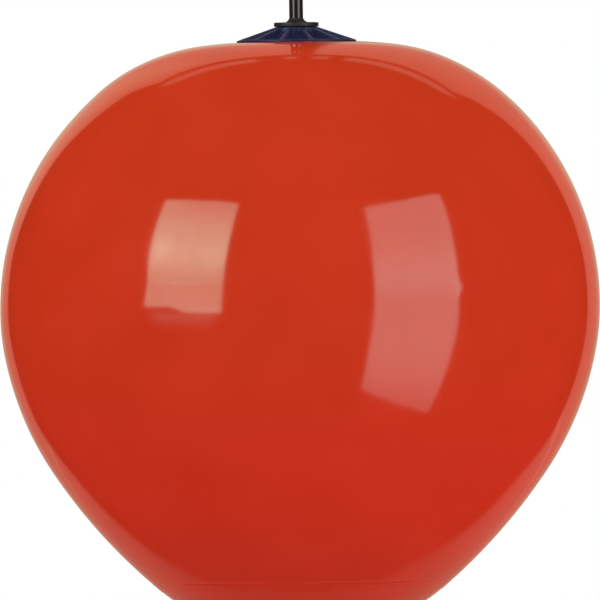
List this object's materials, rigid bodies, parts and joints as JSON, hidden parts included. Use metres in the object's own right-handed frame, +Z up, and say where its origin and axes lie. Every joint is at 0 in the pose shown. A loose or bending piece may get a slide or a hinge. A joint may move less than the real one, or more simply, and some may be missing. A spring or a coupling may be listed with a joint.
{
  "type": "inflatable mooring buoy",
  "caption": "Pear-shaped inflatable vinyl mooring buoy on a turning central rod, with ribbed plastic end cones, a welded collar and an eye at each end.",
  "frame": {"origin": "centre of the float's widest section, on the rod's axis, where the loaded buoy's waterline is", "axes": "+Z up along the mooring rod, +X to the right as seen in the picture, +Y away from the viewer, towards the side that carries the valve"},
  "size_m": [0.6899, 0.69, 0.8838],
  "materials": {
    "float_vinyl": "glossy moulded vinyl, red-orange",
    "cone_plastic": "moulded, semi-gloss, navy blue",
    "tube_plastic": "extruded pipe, natural white",
    "valve_plastic": "moulded, black",
    "rod_enamel": "black enamel over steel, glossy"
  },
  "bodies": {
    "float": {"float_bladder": "float_vinyl", "top_end_cone": "cone_plastic", "bottom_end_cone": "cone_plastic", "centre_tube": "tube_plastic", "valve_body": "valve_plastic", "valve_screw": "valve_plastic"},
    "mooring_iron": {"mooring_rod": "rod_enamel", "top_collar": "rod_enamel", "bottom_washer": "rod_enamel", "jam_nut": "rod_enamel", "eye_nut": "rod_enamel"}
  },
  "joints": [
    {"name": "rod_spin", "type": "hinge", "parent": "float", "child": "mooring_iron", "pos_m": [0, 0, 0], "axis": [0, 0, 1], "continuous": true}
  ]
}
